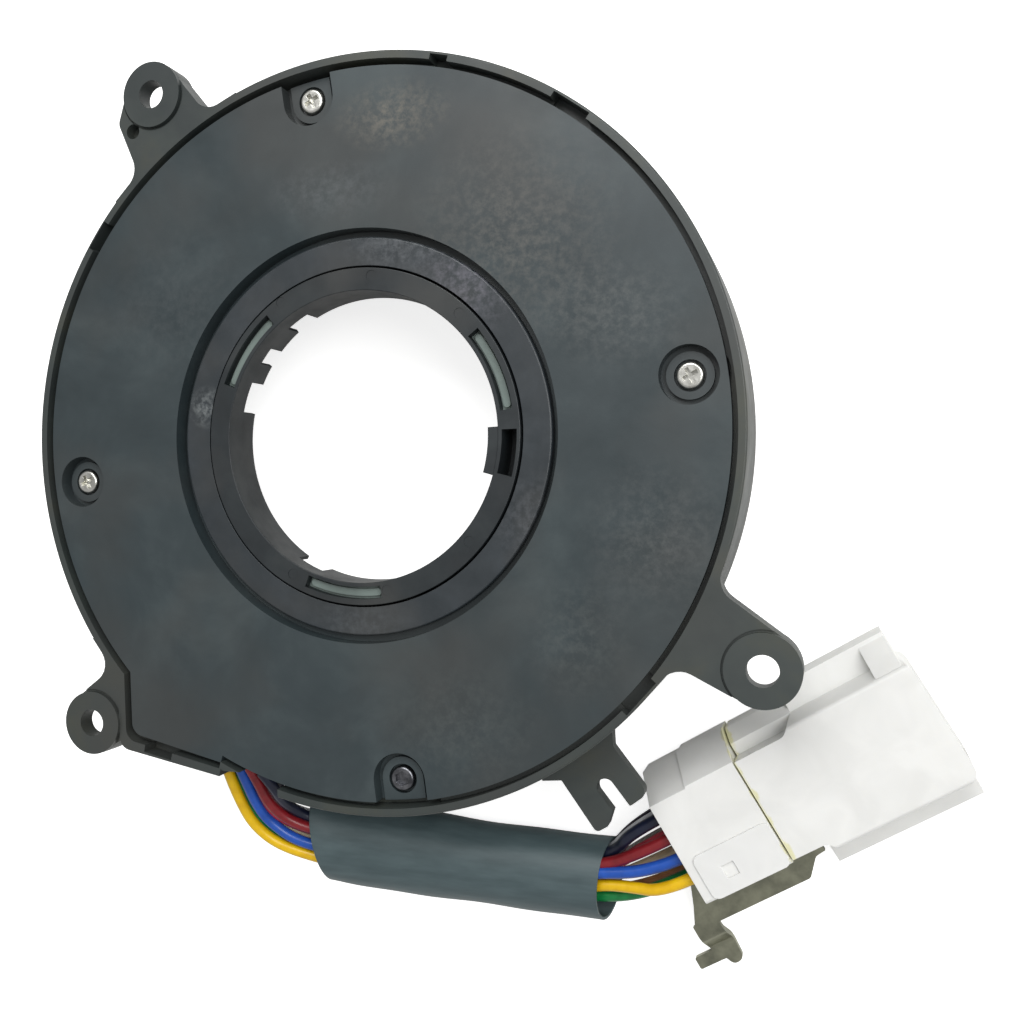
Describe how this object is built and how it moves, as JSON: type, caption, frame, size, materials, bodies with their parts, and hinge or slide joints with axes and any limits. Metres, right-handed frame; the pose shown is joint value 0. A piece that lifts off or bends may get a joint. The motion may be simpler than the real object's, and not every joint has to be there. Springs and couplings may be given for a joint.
{
  "type": "steering clock spring",
  "caption": "Flat round housing with a hub ring that turns about the steering column, three mounting ears and a short wire harness with a white connector.",
  "frame": {"origin": "on the steering axis, at the lower face of the hub collar that the part lies on", "axes": "+Z along the steering axis towards the column side; +Y towards the ear at the top left, -X towards the terminal house corner"},
  "size_m": [0.1411, 0.1391, 0.0255],
  "materials": {
    "case_plastic": "moulded, dull",
    "cover_plastic": "moulded, faintly mottled",
    "rotor_plastic": "moulded, dull",
    "natural_acetal": "natural acetal",
    "tinned_brass": "tinned",
    "cable_laminate": "film laminate",
    "slide_film": "low friction film",
    "block_plastic": "moulded",
    "soft_tube": "soft tube",
    "white_nylon": "moulded nylon",
    "zinc_plated_sheet": "zinc plated",
    "zinc_screw": "zinc plated",
    "black_screw": "black oxide",
    "insulation_navy": "wire insulation",
    "insulation_white_thin": "wire insulation",
    "insulation_black": "wire insulation",
    "insulation_dark_red": "wire insulation",
    "insulation_pink": "wire insulation",
    "insulation_white": "wire insulation",
    "insulation_blue": "wire insulation",
    "insulation_cream": "wire insulation",
    "insulation_yellow": "wire insulation",
    "insulation_green": "wire insulation",
    "insulation_brown": "wire insulation"
  },
  "bodies": {
    "stator": {"stator_case": "case_plastic", "rear_cover": "cover_plastic", "header_pins": "tinned_brass", "wire_contacts": "tinned_brass", "crimp_terminals": "tinned_brass", "ribbon_cable": "cable_laminate", "lower_slide_sheet": "slide_film", "upper_slide_sheet": "slide_film", "stator_terminal_block": "block_plastic", "harness_sleeve": "soft_tube", "main_housing": "white_nylon", "wire_housing": "white_nylon", "latch_cover": "white_nylon", "steel_bracket": "zinc_plated_sheet", "cover_screw_right": "zinc_screw", "cover_screw_top": "zinc_screw", "cover_screw_left": "zinc_screw", "cover_screw_bottom": "black_screw", "wire_navy": "insulation_navy", "wire_white_thin": "insulation_white_thin", "wire_black": "insulation_black", "wire_dark_red": "insulation_dark_red", "wire_pink": "insulation_pink", "wire_white": "insulation_white", "wire_blue": "insulation_blue", "wire_cream": "insulation_cream", "wire_yellow": "insulation_yellow", "wire_green": "insulation_green", "wire_brown": "insulation_brown"},
    "rotor": {"front_rotor": "rotor_plastic", "retaining_sleeve": "rotor_plastic", "cam_ring": "rotor_plastic", "clip_ring": "natural_acetal", "airbag_socket": "rotor_plastic", "switch_socket": "rotor_plastic", "airbag_pins": "tinned_brass", "switch_pins": "tinned_brass", "rotor_terminal_block": "block_plastic"}
  },
  "joints": [
    {"name": "rotor_turn", "type": "hinge", "parent": "stator", "child": "rotor", "pos_m": [0, 0, 0.0126], "axis": [0, 0, 1], "range_deg": [-900, 900]}
  ]
}
